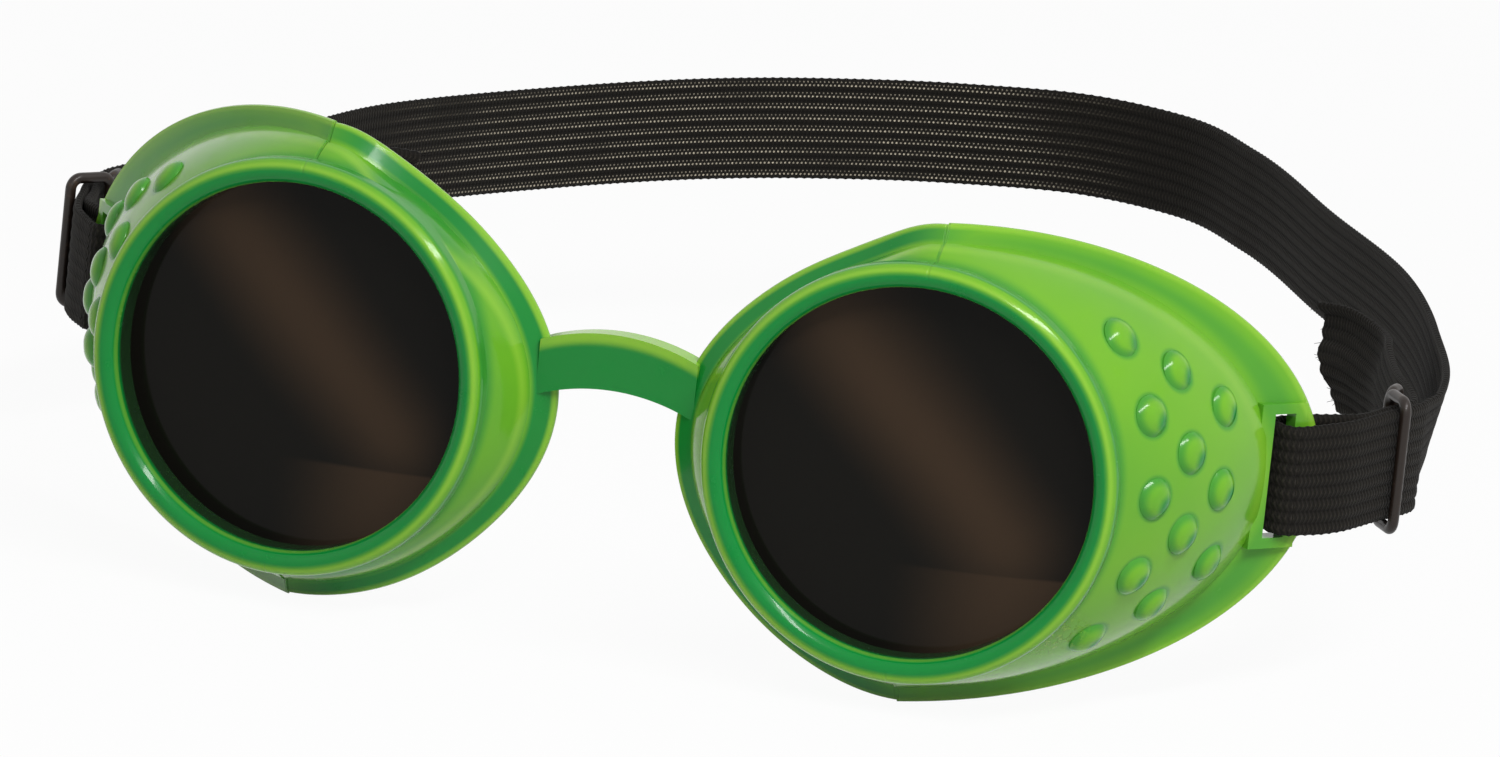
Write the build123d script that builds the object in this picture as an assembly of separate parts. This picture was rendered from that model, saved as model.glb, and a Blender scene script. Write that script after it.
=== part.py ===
"""Round welding goggles: two eye cups with side shields, tinted lenses and an elastic head strap.

Millimetres. As worn: the lenses face -Y, +X is the side of the right-hand cup as seen from the front, Z is up.
The right-hand cup is drawn in its own frame, where the cup's axis is Y and depth grows towards the face.
"""

import os
from math import atan2, cos, degrees, hypot, radians, sin

from build123d import *

# Frame, lenses and rings
LENS_SPACING = 86.5
SPLAY = 3.8  # degrees that each cup turns outward
RING_RADIUS = 28.0
RING_WIDTH = 3.3
LENS_RADIUS = 25.5
LENS_THICKNESS = 2.0
LENS_DEPTH = 4.2  # from the ring's widest line back to the lens
RING_SEAT = 1.4  # depth at which a ring sits on its cup
BORE_CLEARANCE = 0.2
SLEEVE_CLEARANCE = 0.1
NECK_WALL = 1.7
SHELF_WIDTH = 1.8
SHELF_THICKNESS = 1.4

# Shell walls and flanges. The side shield's edge is half an ellipse in a plane that slants back towards the temple.
WALL = 1.8
WALL_START_LIMIT = 0.5  # share of the wall's run back that its inner face may set off behind its outer one
WALL_START = (-0.5, 0.3)  # from the neck's front corner, as (radius, depth)
WALL_SWELL = 0.06  # rise of the wall's arc over its length
FLANGE = 1.8
LIP_ROUND = 0.35  # rise of the lip's round edge over the flange's thickness
GROOVE = (-0.2, 0.5)  # from the wall's crest, as (radius, depth)
SEAM_DEPTH = 7.5  # depth of the side shield's edge at twelve and six o'clock
TEMPLE_REACH = 46.6
TEMPLE_RISE = 32.0
TEMPLE_FALL = 32.15
TEMPLE_SWEEP = 30.2
FLANGE_AT_SEAM = (2.2, 1.8)  # its radial and backward parts
FLANGE_AT_TEMPLE = (5.2, 6.0)
FLANGE_POWER = 3  # how late the flange widens towards the temple
NOSE_RADIUS = 30.5
NOSE_REACH = 3.7
NOSE_DROP = 1.5  # of the nose half's edge below the lens's middle
NOSE_DEPTH = 9.4
NOSE_SWEEP = 1.15
NOSE_FLANGE = 0.6  # that it widens towards the nose
NOSE_POWER = 6
SEAM_POWER = 24  # how near the seam the nose half's edge rises to meet the side shield's
SEAM_STEP = 0.2
NECK_CUT_LEAD = 10.0  # that the space for the neck is cut past the front

# Vent bumps: columns of (share of the wall's length, bend back above and below, pitch in degrees, count)
DOME_RADIUS = 2.8
DOME_HEIGHT = 1.1
DOME_SHOULDER = (0.707, 0.62)  # share of its radius and height
DOME_FOOT = 0.9
DOME_COLUMNS = [(0.22, 0.18, 20.0, 5), (0.42, 0.33, 18.0, 4), (0.62, 0.75, 16.0, 3)]
DOME_BEND_ANGLE = 40.0

# Nose bridge
BRIDGE_HALF_LENGTH = 11.0
BRIDGE_HEIGHT = 7.5
BRIDGE_RISE = 2.2
BRIDGE_END_TOP = 7.9
BRIDGE_FRONT = 7.0
BRIDGE_THICKNESS = 3.2

# Strap and the slots that hold it
STRAP_WIDTH = 15.0
STRAP_THICKNESS = 1.2
LAYER_GAP = 0.2
TAB_LENGTH = 4.6
TAB_THICKNESS = 2.0
TAB_GAP = 0.5
TAB_CREST = 1.2  # how far past the tab's tip the outer layer starts to bend, and short of it the inner one
TAB_ROOT = 2.2  # that the tab's plate reaches into the wall in front of the slot
TAB_MARGIN = 1.4  # of the plate above and below the slot
SLOT_LENGTH = 3.4
SLOT_CLEARANCE = 0.9  # above and below the strap
SLOT_HALF_HEIGHT = STRAP_WIDTH / 2 + SLOT_CLEARANCE
SLOT_LEAD = 1.2  # that the outer recess reaches in front of the slot
RECESS_DEPTH = 8.0
TAB_BEYOND = 8.0  # that the recesses are cut past the tab's tip
DOUBLED_ANGLE = 15.0  # degrees outward from straight back
DOUBLED_LENGTH = 12.4
DOUBLED_START = (4.6, 6.0)  # from the tab's tip
BAND_TURN = (9.0, -15.0)  # radius and heading of the curve behind the slider
TAIL_TURN = (7.6, -25.0)
STRAP_BACK = [
    (82.6, 114.5),
    (71.0, 141.3),
    (46.4, 183.0),
    (24.5, 216.8),
    (4.0, 233.6),
    (-15.4, 230.2),
    (-40.5, 209.6),
    (-66.0, 176.8),
    (-77.5, 154.0),
    (-84.6, 129.6),
]
TAIL = [(81.4, 93.5), (74.2, 108.8), (65.0, 114.5)]
TAIL_HEADING = -70.0

# Sliders, bent from wire
WIRE_RADIUS = 0.75
WIRE_STEP = 0.04  # the rear window shares the front one's bar, just inside it
REAR_WIRE_RADIUS = WIRE_RADIUS - WIRE_STEP
BAR_SPACING = 4.2
BAR_CLEARANCE = 0.45
WINDOW_CORNER = 1.5
REAR_LEAN = 14.0  # degrees that the rear window turns inward
SLIDER_PLACE = 10.8  # of its middle, along the doubled strap


def on_cup(shape):
    """A shape from the cup's frame, in the place of the right-hand cup."""
    return Pos(LENS_SPACING / 2, 0, 0) * Rot(0, 0, SPLAY) * shape


def opposite(shape):
    """The left-hand copy of a right-hand shape."""
    return mirror(shape, about=Plane.YZ)


def one_solid(shape):
    """The largest solid of a shape."""
    return max(shape.solids(), key=lambda solid: solid.volume)


def turned(points):
    """A polygon of (radius, depth) turned about the cup's axis."""
    return revolve(make_face(Polyline(*points, close=True)), Axis.Y)


def lens_ring():
    inner = RING_RADIUS - RING_WIDTH
    sleeve = LENS_RADIUS + BORE_CLEARANCE - SLEEVE_CLEARANCE
    crown = ThreePointArc((inner, 0), (inner + RING_WIDTH / 2, -RING_WIDTH / 2), (RING_RADIUS, 0))
    back = Polyline(
        (RING_RADIUS, 0),
        (RING_RADIUS, RING_SEAT),
        (sleeve, RING_SEAT),
        (sleeve, LENS_DEPTH),
        (inner, LENS_DEPTH),
        (inner, 0),
    )
    return revolve(make_face(crown.edges() + back.edges()), Axis.Y)


def lens():
    return turned(
        [
            (0, LENS_DEPTH),
            (LENS_RADIUS, LENS_DEPTH),
            (LENS_RADIUS, LENS_DEPTH + LENS_THICKNESS),
            (0, LENS_DEPTH + LENS_THICKNESS),
        ]
    )


NECK_BORE = LENS_RADIUS + BORE_CLEARANCE
NECK_RADIUS = NECK_BORE + NECK_WALL
NECK_END = LENS_DEPTH + LENS_THICKNESS + SHELF_THICKNESS


def neck():
    """The tube that holds the lens against its shelf."""
    shelf = NECK_END - SHELF_THICKNESS
    return turned(
        [
            (NECK_BORE, RING_SEAT),
            (NECK_RADIUS, RING_SEAT),
            (NECK_RADIUS, NECK_END),
            (NECK_BORE - SHELF_WIDTH, NECK_END),
            (NECK_BORE - SHELF_WIDTH, shelf),
            (NECK_BORE, shelf),
        ]
    )


def temple_edge(angle):
    """Radius and depth of the side shield's edge, and its flange's radial and backward parts."""
    across, up = cos(radians(angle)), sin(radians(angle))
    half_height = TEMPLE_RISE if up > 0 else TEMPLE_FALL
    radius = 1 / hypot(across / TEMPLE_REACH, up / half_height)
    depth = SEAM_DEPTH + TEMPLE_SWEEP * radius * across / TEMPLE_REACH
    wide = across**FLANGE_POWER
    out, back = (near + (far - near) * wide for near, far in zip(FLANGE_AT_SEAM, FLANGE_AT_TEMPLE))
    return radius, depth, out, back


def nose_edge(angle):
    """The same for the nose half of the cup."""
    inward, up = abs(cos(radians(angle))) ** NOSE_POWER, sin(radians(angle))
    radius = NOSE_RADIUS + NOSE_REACH * inward - NOSE_DROP * up
    depth = NOSE_DEPTH + NOSE_SWEEP * inward
    at_seam = TEMPLE_RISE if up > 0 else TEMPLE_FALL
    near_seam = abs(up) ** SEAM_POWER
    radius += (at_seam - SEAM_STEP - radius) * near_seam
    depth += (SEAM_DEPTH - depth) * near_seam
    out, back = (part + NOSE_FLANGE * inward for part in FLANGE_AT_SEAM)
    return radius, depth, out, back


def wall_line(edge):
    """Where the outer wall starts, swells most and meets its flange, as (radius, depth)."""
    radius, depth, out, back = edge
    start = (NECK_RADIUS + WALL_START[0], RING_SEAT + WALL_START[1])
    end = (radius - out, depth - back)
    along = (end[0] - start[0], end[1] - start[1])
    middle = (
        (start[0] + end[0]) / 2 + WALL_SWELL * along[1],
        (start[1] + end[1]) / 2 - WALL_SWELL * along[0],
    )
    return start, middle, end


def section(angle, edge):
    """The shell's cross-section in the half plane at one angle about the cup's axis."""
    start, middle, crest = wall_line(edge)
    radius, depth, out, back = edge
    along = (crest[0] - start[0], crest[1] - start[1])
    length = hypot(*along)
    into = (-along[1] / length * WALL, along[0] / length * WALL)
    flange = hypot(out, back)
    under = (-back / flange * FLANGE, out / flange * FLANGE)
    groove = (crest[0] + GROOVE[0], crest[1] + GROOVE[1])
    lip = (radius, depth)
    lip_under = (radius + under[0], depth + under[1])
    lip_round = (
        (lip[0] + lip_under[0]) / 2 + LIP_ROUND * FLANGE * out / flange,
        (lip[1] + lip_under[1]) / 2 + LIP_ROUND * FLANGE * back / flange,
    )
    inner_root = (groove[0] + (into[0] + under[0]) / 2, groove[1] + (into[1] + under[1]) / 2)
    inner_start = (start[0], start[1] + min(WALL * length / along[0], WALL_START_LIMIT * along[1] + WALL))
    inner_middle = (middle[0] + into[0], middle[1] + into[1])

    def at(point):
        return (
            point[0] * cos(radians(angle)),
            point[1],
            point[0] * sin(radians(angle)),
        )

    edges = [
        Edge.make_three_point_arc(at(start), at(middle), at(crest)),
        Edge.make_line(at(crest), at(groove)),
        Edge.make_line(at(groove), at(lip)),
        Edge.make_three_point_arc(at(lip), at(lip_round), at(lip_under)),
        Edge.make_line(at(lip_under), at(inner_root)),
        Edge.make_line(at(inner_root), at(inner_start)),
        Edge.make_line(at(inner_start), at(start)),
    ]
    return Wire(edges)


def shell(angles, edge_at):
    """The wall and flange through the given angles, left clear of the neck."""
    body = Solid.make_loft([section(angle, edge_at(angle)) for angle in angles])
    length = NECK_END + NECK_CUT_LEAD
    tube = Pos(0, NECK_END - length / 2, 0) * Rot(90, 0, 0) * Cylinder(NECK_RADIUS, length)
    return one_solid(body - tube)


def dome():
    """A low round vent bump with its foot sunk in the wall; it rises along +X."""
    shoulder = (DOME_SHOULDER[0] * DOME_RADIUS, DOME_SHOULDER[1] * DOME_HEIGHT)
    crown = ThreePointArc((0, DOME_HEIGHT), shoulder, (DOME_RADIUS, 0))
    base = Polyline((DOME_RADIUS, 0), (DOME_RADIUS, -DOME_FOOT), (0, -DOME_FOOT), (0, DOME_HEIGHT))
    bump = revolve(make_face(crown.edges() + base.edges()), Axis.Y)
    return Rot(0, 0, -90) * bump


def dome_places():
    """(angle, share of the wall's length) of each bump: three staggered columns that bend back above and below."""
    for share, bend, pitch, count in DOME_COLUMNS:
        for row in range(count):
            angle = pitch * (row - (count - 1) / 2)
            yield angle, share + bend * (angle / DOME_BEND_ANGLE) ** 2


def wall_point(angle, share):
    """A point on the side shield's outer wall and how far its outward direction leans forward."""
    start, middle, end = wall_line(temple_edge(angle))
    keep = 1 - share
    # The arc is shallow, so a parabola through the same three points serves.
    bow = 4 * keep * share
    chord_middle = ((start[0] + end[0]) / 2, (start[1] + end[1]) / 2)
    radius = start[0] * keep + end[0] * share + bow * (middle[0] - chord_middle[0])
    depth = start[1] * keep + end[1] * share + bow * (middle[1] - chord_middle[1])
    slope = 4 * (keep - share)
    across = end[0] - start[0] + slope * (middle[0] - chord_middle[0])
    back = end[1] - start[1] + slope * (middle[1] - chord_middle[1])
    return radius, depth, degrees(atan2(across, back))


def tab_plane():
    """The strap tab's frame in the right-hand cup's place: X towards the tip, Y inward, at the slot's rear edge."""
    radius, depth, out, back = temple_edge(0)
    lean = atan2(out, back) - radians(SPLAY)
    tip = on_cup(Pos(radius, depth, 0) * Vertex(0, 0, 0)).center()
    along = Vector(sin(lean), cos(lean), 0)
    inward = Vector(-cos(lean), sin(lean), 0)
    origin = tip - along * TAB_LENGTH + inward * TAB_THICKNESS / 2
    return Plane(origin=origin, x_dir=along, z_dir=(0, 0, 1))


def block(plane, x_range, y_range, half_height):
    """A box in a plane's frame."""
    size = (x_range[1] - x_range[0], y_range[1] - y_range[0], 2 * half_height)
    middle = ((x_range[0] + x_range[1]) / 2, (y_range[0] + y_range[1]) / 2, 0)
    return plane.location * Pos(*middle) * Box(*size)


def side_shield():
    angles = [90, 84, 75, 64, 52, 40, 28, 18, 9, 0]
    angles += [-angle for angle in reversed(angles[:-1])]
    shield = shell(angles, temple_edge)
    bumps = []
    for angle, share in dome_places():
        radius, depth, lean = wall_point(angle, share)
        bumps.append(Rot(0, -angle, 0) * Pos(radius, depth, 0) * Rot(0, 0, -lean) * dome())
    shield = on_cup(shield.fuse(*[one_solid(bump) for bump in bumps]))
    plane = tab_plane()
    half = TAB_THICKNESS / 2
    past_tip = TAB_LENGTH + TAB_BEYOND
    root = -SLOT_LENGTH - TAB_ROOT
    shield = shield + block(plane, (root, WALL), (-half, half), SLOT_HALF_HEIGHT + TAB_MARGIN)
    outer = block(plane, (-SLOT_LENGTH - SLOT_LEAD, past_tip), (-RECESS_DEPTH, -half), SLOT_HALF_HEIGHT)
    inner = block(plane, (-SLOT_LENGTH, past_tip), (half, RECESS_DEPTH), SLOT_HALF_HEIGHT)
    slot = block(plane, (-SLOT_LENGTH, 0), (-RECESS_DEPTH, RECESS_DEPTH), SLOT_HALF_HEIGHT)
    return one_solid(shield - outer - inner - slot)


def eye_cup():
    """The lens tube with the nose half of the shell."""
    from_seam = [90, 94, 99, 105, 115, 130, 145, 160, 170]
    angles = from_seam + [180] + [360 - angle for angle in reversed(from_seam)]
    nose_half = shell(angles, nose_edge)
    return on_cup(one_solid(neck() + nose_half))


def nose_bridge(cup):
    """The arched bar between the cups, ending on their flanges."""
    end, top = BRIDGE_HALF_LENGTH, BRIDGE_END_TOP
    bottom = top - BRIDGE_HEIGHT
    upper = ThreePointArc((-end, top), (0, top + BRIDGE_RISE), (end, top))
    lower = ThreePointArc((-end, bottom), (0, bottom + BRIDGE_RISE), (end, bottom))
    sides = [Line((x, top), (x, bottom)) for x in (-end, end)]
    face = make_face(upper.edges() + lower.edges() + [side.edge() for side in sides])
    bar = extrude(Plane.XZ * face, -BRIDGE_THICKNESS)
    bar = Pos(0, BRIDGE_FRONT, 0) * bar
    return one_solid(bar - cup - opposite(cup))


def direction(angle):
    """Straight back, turned outward by an angle in degrees."""
    return Vector(sin(radians(angle)), cos(radians(angle)), 0)


def outward(angle):
    return Vector(cos(radians(angle)), -sin(radians(angle)), 0)


def tab_lean():
    plane = tab_plane()
    return degrees(atan2(plane.x_dir.X, plane.x_dir.Y))


def doubled_point(along, aside):
    """A point of the straight doubled strap: along it, and outward from its middle."""
    plane = tab_plane()
    tip = plane.origin + plane.x_dir * TAB_LENGTH
    start = tip + Vector(*DOUBLED_START, 0)
    return start + direction(DOUBLED_ANGLE) * along + outward(DOUBLED_ANGLE) * aside


def ribbon(path):
    """A length of strap whose middle follows a flat path."""
    wire = Wire(path)
    start = wire.position_at(0)
    run = wire.tangent_at(0)
    plane = Plane(origin=start, x_dir=run.cross(Vector(0, 0, 1)), z_dir=run)
    outline = plane * Rectangle(STRAP_THICKNESS, STRAP_WIDTH)
    return sweep(outline, path=wire)


def layer_run(side):
    """The strap on one side of the tab, from the slot to the end of the doubled stretch; side is +1 outside."""
    plane = tab_plane()
    lean = tab_lean()
    aside = side * (TAB_THICKNESS / 2 + TAB_GAP + STRAP_THICKNESS / 2)
    layer = side * (STRAP_THICKNESS + LAYER_GAP) / 2
    start = plane.origin + outward(lean) * aside
    leave = start + plane.x_dir * (TAB_LENGTH + side * TAB_CREST)
    join = doubled_point(0, layer)
    finish = doubled_point(DOUBLED_LENGTH, layer)
    bend = Spline(leave, join, tangents=(plane.x_dir, direction(DOUBLED_ANGLE)))
    return [Edge.make_line(start, leave), bend.edge(), Edge.make_line(join, finish)]


def turn_in(start, turn):
    """The curve by which a layer leaves the doubled stretch and heads inward; turn is its radius and new angle."""
    radius, angle = turn
    centre = start - outward(DOUBLED_ANGLE) * radius
    middle = centre + outward((DOUBLED_ANGLE + angle) / 2) * radius
    return Edge.make_three_point_arc(start, middle, centre + outward(angle) * radius)


def flipped(vector):
    return Vector(-vector.X, vector.Y, vector.Z)


def opposite_run(run):
    """The left-hand copy of a run of edges, followed the other way."""
    edges = []
    for edge in reversed(run):
        start, finish = flipped(edge.position_at(1)), flipped(edge.position_at(0))
        leaving, arriving = flipped(edge.tangent_at(1)) * -1, flipped(edge.tangent_at(0)) * -1
        if edge.geom_type == GeomType.LINE:
            edges.append(Edge.make_line(start, finish))
        elif edge.geom_type == GeomType.CIRCLE:
            edges.append(Edge.make_three_point_arc(start, flipped(edge.position_at(0.5)), finish))
        else:
            edges.append(Spline(start, finish, tangents=(leaving, arriving)).edge())
    return edges


def head_strap():
    """The long band round the head, with the outer layers that reach the two slots."""
    right = layer_run(1)
    right.append(turn_in(right[-1].position_at(1), BAND_TURN))
    left = opposite_run(right)
    leave, heading = right[-1].position_at(1), right[-1].tangent_at(1)
    back = Spline(
        leave,
        *STRAP_BACK,
        flipped(leave),
        tangents=(heading, flipped(heading) * -1),
    )
    return ribbon(right + [back.edge()] + left)


def strap_end():
    """The right-hand end: through the slot, back along the inside and out of the slider as a free tail."""
    plane = tab_plane()
    lean = tab_lean()
    turn = TAB_THICKNESS / 2 + TAB_GAP + STRAP_THICKNESS / 2
    outer = plane.origin + outward(lean) * turn
    inner = plane.origin - outward(lean) * turn
    front = plane.origin - plane.x_dir * turn
    inside = layer_run(-1)
    leave = inside[-1].position_at(1)
    parting = turn_in(leave, TAIL_TURN)
    ways = (parting.tangent_at(1), direction(TAIL_HEADING))
    tail = Spline(parting.position_at(1), *TAIL, tangents=ways)
    bend = Edge.make_three_point_arc(outer, front, inner)
    return ribbon([bend] + inside + [parting, tail.edge()])


def window(middle, across, angle, wire_radius):
    """One wire window of a slider about a point of the doubled strap's frame."""
    half_height = STRAP_WIDTH / 2 + BAR_CLEARANCE + WIRE_RADIUS
    outline = RectangleRounded(across, 2 * half_height, WINDOW_CORNER).wire()
    loop = middle * Rot(0, 0, angle) * Rot(90, 0, 0) * outline
    start = loop.position_at(0)
    disc = Plane(origin=start, z_dir=loop.tangent_at(0)) * Circle(wire_radius)
    return sweep(disc, path=loop)


def slider():
    """Three wire bars: the front one outside the doubled strap, the other two inside it."""
    bar_out = STRAP_THICKNESS + LAYER_GAP / 2 + BAR_CLEARANCE + WIRE_RADIUS
    frame = Plane(
        origin=doubled_point(SLIDER_PLACE, 0),
        x_dir=direction(DOUBLED_ANGLE),
        z_dir=(0, 0, 1),
    ).location
    # In this frame X runs back along the strap and Y inward.
    slant = hypot(BAR_SPACING, 2 * bar_out)
    lean = degrees(atan2(2 * bar_out, BAR_SPACING))
    front = window(frame * Pos(-BAR_SPACING / 2, 0, 0), slant, lean, WIRE_RADIUS)
    rear_place = frame * Pos(0, bar_out, 0) * Rot(0, 0, REAR_LEAN) * Pos(BAR_SPACING / 2, 0, 0)
    rear = window(rear_place, BAR_SPACING, 0, REAR_WIRE_RADIUS)
    return one_solid(front + rear)


def pieces():
    ring, disc = on_cup(lens_ring()), on_cup(lens())
    cup = eye_cup()
    paired = {
        "lens_ring": ring,
        "lens": disc,
        "eye_cup": cup,
        "side_shield": side_shield(),
        "strap_end": strap_end(),
        "strap_slider": slider(),
    }
    built = {"nose_bridge": nose_bridge(cup), "head_strap": head_strap()}
    for name, shape in paired.items():
        built["right_" + name] = shape
        built["left_" + name] = opposite(shape)
    return built


def main():
    os.makedirs("parts", exist_ok=True)
    built = pieces()
    box = Compound([one_solid(shape) for shape in built.values()]).bounding_box()
    to_floor = Pos(0, -box.center().Y, -box.min.Z)
    for name, shape in built.items():
        solid = to_floor * one_solid(shape)
        solid.label = name
        export_step(solid, os.path.join("parts", name + ".step"))


if __name__ == "__main__":
    main()
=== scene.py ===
"""Round welding goggles: looks for the moulded frame, tinted lenses, elastic strap and wire sliders."""

import math
import random

import bmesh
import bpy
import numpy as np
from bpy.props import FloatProperty, FloatVectorProperty, IntProperty, PointerProperty
from mathutils import Matrix, Vector


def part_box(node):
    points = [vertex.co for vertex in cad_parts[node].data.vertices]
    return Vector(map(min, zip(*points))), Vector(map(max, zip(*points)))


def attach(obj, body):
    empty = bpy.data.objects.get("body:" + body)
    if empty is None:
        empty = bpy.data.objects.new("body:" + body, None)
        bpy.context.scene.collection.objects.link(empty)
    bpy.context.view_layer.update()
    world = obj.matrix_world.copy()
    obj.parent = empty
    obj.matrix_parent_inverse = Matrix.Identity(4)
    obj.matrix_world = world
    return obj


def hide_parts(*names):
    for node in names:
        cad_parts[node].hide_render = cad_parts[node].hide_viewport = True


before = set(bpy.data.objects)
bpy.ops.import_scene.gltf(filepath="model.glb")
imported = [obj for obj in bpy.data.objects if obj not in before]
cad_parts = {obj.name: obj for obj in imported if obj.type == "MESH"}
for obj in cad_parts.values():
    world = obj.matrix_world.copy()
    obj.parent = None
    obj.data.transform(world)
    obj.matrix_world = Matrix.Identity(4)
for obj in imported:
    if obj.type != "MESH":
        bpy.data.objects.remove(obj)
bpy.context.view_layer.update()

bl_info = {
    "name": "Round welding goggles",
    "version": (1, 0, 0),
    "blender": (4, 5, 0),
    "location": "View3D > Sidebar > Goggles",
    "description": "Finishes the goggles' moulded frame and lenses and weaves their elastic strap",
    "category": "Object",
}

MM = 0.001
SIDES = {"right": 1, "left": -1}

# The cups, in the right-hand cup's terms: the left-hand one is its mirror image.
SPLAY = math.radians(3.8)
LENS_LOW, LENS_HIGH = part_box("right_lens")
LENS_MIDDLE = (LENS_LOW + LENS_HIGH) / 2
LENS_DEPTH = 5.2 * MM
DEPTH_AXIS = Vector((-math.sin(SPLAY), math.cos(SPLAY), 0))
ASIDE_AXIS = Vector((math.cos(SPLAY), math.sin(SPLAY), 0))
CUP = LENS_MIDDLE - DEPTH_AXIS * LENS_DEPTH
STRAP_MIDDLE = (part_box("head_strap")[0].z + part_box("head_strap")[1].z) / 2

# The shells' edges, in millimetres from the cup's axis.
TEMPLE_REACH, TEMPLE_RISE, TEMPLE_FALL = 46.6, 32.0, 32.15
NOSE_RADIUS, NOSE_REACH, NOSE_DROP = 30.5, 3.7, 1.5
SEAM_DEPTH, TEMPLE_SWEEP = 7.5, 30.2
WALL_START = (26.9, 1.7)  # radius and depth at which the shells leave their necks
WALL_SWELL = 0.06
FLANGE_AT_SEAM = (2.2, 1.8)  # its radial and backward parts
FLANGE_AT_TEMPLE = (5.2, 6.0)
# Columns of vent bumps: share of the wall's length, bend back above and below, pitch in degrees, count.
VENT_COLUMNS = [(0.22, 0.18, 20.0, 5), (0.42, 0.33, 18.0, 4), (0.62, 0.75, 16.0, 3)]
VENT_BEND_ANGLE = 40.0

# The strap at its slot and slider, in millimetres; angles are degrees outward from straight back.
TAB_LENGTH, TAB_THICKNESS, TAB_GAP = 4.6, 2.0, 0.5
TAB_CREST = 1.2  # how far past the tab's tip the outer layer starts to bend, and short of it the inner one
STRAP_THICKNESS, LAYER_GAP = 1.2, 0.2
DOUBLED_ANGLE, DOUBLED_LENGTH = 15.0, 12.4
DOUBLED_START = (4.6, 6.0)  # aside and back from the tab's tip
BAND_TURN = (9.0, -15.0)  # radius and last heading of the curve behind the slider
TAIL_TURN = (7.6, -25.0)
TAB_LEAN = math.degrees(math.atan2(*FLANGE_AT_TEMPLE) - SPLAY)
SLOT_TURN = TAB_THICKNESS / 2 + TAB_GAP + STRAP_THICKNESS / 2

# Its free stretches, seen from above: round the head, and the right-hand tail.
BAND = [
    (91.2, -32.2),
    (85.77, -11.97),
    (70.81, 26.03),
    (50.1, 61.33),
    (28.3, 95.97),
    (13.2, 112.9),
    (-3.4, 118.23),
    (-20.6, 111.2),
    (-37.55, 97.18),
    (-63.27, 65.39),
    (-80.88, 28.61),
    (-87.28, -11.7),
    (-91.4, -32.0),
]
TAIL = [(87.15, -37.46), (81.91, -23.64), (76.51, -9.91), (65.0, -1.13)]

# How it lies: lower where it enters its slot, and cut askew at its tails, in millimetres across the width.
SLOT_SAG = 0.55 * MM
TAIL_SKEW = 5.5
STITCH_LENGTH = 0.69  # of the woven pattern, in millimetres
OPENED = (0.222, 0.362)  # distances along the band between which the stretched weave opens

# The bridge, in millimetres.
BRIDGE_HEIGHT, BRIDGE_BOW, BRIDGE_HALF = 6.8, 2.2, 11

# The stage: name, place, size, power and roll in degrees of each lamp.
LAMPS = [
    ("key", (0.45, -0.5, 0.7), (0.85, 0.11), 7.5, 24),
    ("fill", (-0.9, -0.9, 0.7), (0.8, 0.8), 0.4, 0),
]
LAMP_AIM = Vector((0, -0.09, 0.03))
FLOOR_SIZE = 6.0
FLOOR_PAINT = (0.74, 0.74, 0.74)
FLOOR_GLOW = 0.95  # share of its white that the camera sees without shading
WORLD_SEEN, WORLD_LIGHT = 0.71, 0.29
WHITE = (1, 1, 1)
CAMERA_AIM = (20.18, 5.43)  # to the right and up from between the cups, in millimetres
CAMERA_SENSOR, CAMERA_LENS, CAMERA_REACH = 36, 319.2, 20
NO_MASK = 0.0


class GogglesSizes(bpy.types.PropertyGroup):
    """Sizes that a user would change."""

    strap_width: FloatProperty(
        name="Strap width", description="Width of the elastic", default=15 * MM, unit="LENGTH"
    )
    strap_core: FloatProperty(
        name="Strap core", description="Thickness between two ribs", default=0.78 * MM, unit="LENGTH"
    )
    rib_height: FloatProperty(
        name="Rib height", description="Height of a rib on each face", default=0.2 * MM, unit="LENGTH"
    )
    ribs: IntProperty(name="Ribs", description="Ribs across the elastic", default=9, min=1)
    stitch_pitch: FloatProperty(
        name="Stitch pitch", description="Length of one edge loop", default=1.35 * MM, unit="LENGTH"
    )
    fray_threads: IntProperty(
        name="Fray threads", description="Loose threads on each cut end", default=26, min=0
    )
    camera_turn: FloatProperty(
        name="Camera turn", description="Angle of the view to the right of straight ahead",
        default=math.radians(17.59), subtype="ANGLE",
    )
    camera_rise: FloatProperty(
        name="Camera rise", description="Angle of the view above level",
        default=math.radians(12.37), subtype="ANGLE",
    )
    camera_roll: FloatProperty(
        name="Camera roll", description="Lean of the view", default=math.radians(5.89), subtype="ANGLE"
    )
    camera_distance: FloatProperty(
        name="Camera distance", description="Distance from the cups", default=1.7437, unit="LENGTH"
    )


def colour(name, about, value):
    return FloatVectorProperty(
        name=name, description=about, default=value, subtype="COLOR", size=3, min=0, max=1
    )


class GogglesColours(bpy.types.PropertyGroup):
    """Colours, in linear values."""

    plastic: colour("Plastic", "Moulded frame", (0.165, 0.44, 0.02))
    # Painted highlight along crests and edges, and the pale rough moulding mark.
    plastic_highlight: colour("Plastic edges", "Painted highlight along crests and edges", (0.29, 0.56, 0.045))
    # Deeper green of the plastic in random clouds, and painted shade in hollows, channels, creases and on low
    # sides.
    plastic_deep_and_shade: colour("Plastic hollows", "Deeper tone at random, and painted shade in hollows", (0.0, 0.235, 0.035))
    # Painted shade in the rings' recess in front of the lens.
    plastic_recess_shade: colour("Plastic recess", "Inside of the rings", (0.012, 0.035, 0.012))
    lens: colour("Lens", "Tinted lens", (0.0065, 0.0058, 0.0045))
    # Painted reflection on the lens, in a slanting sweep and the lower corner.
    lens_reflection: colour("Lens reflection", "Painted reflection in a slanting sweep", (0.062, 0.037, 0.021))
    strap: colour("Strap", "Elastic yarn", (0.0095, 0.0085, 0.007))
    strap_core: colour("Strap core", "Rubber seen through the stretched weave", (0.60, 0.54, 0.42))
    wire: colour("Wire", "Enamelled wire", (0.016, 0.010, 0.007))


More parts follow.
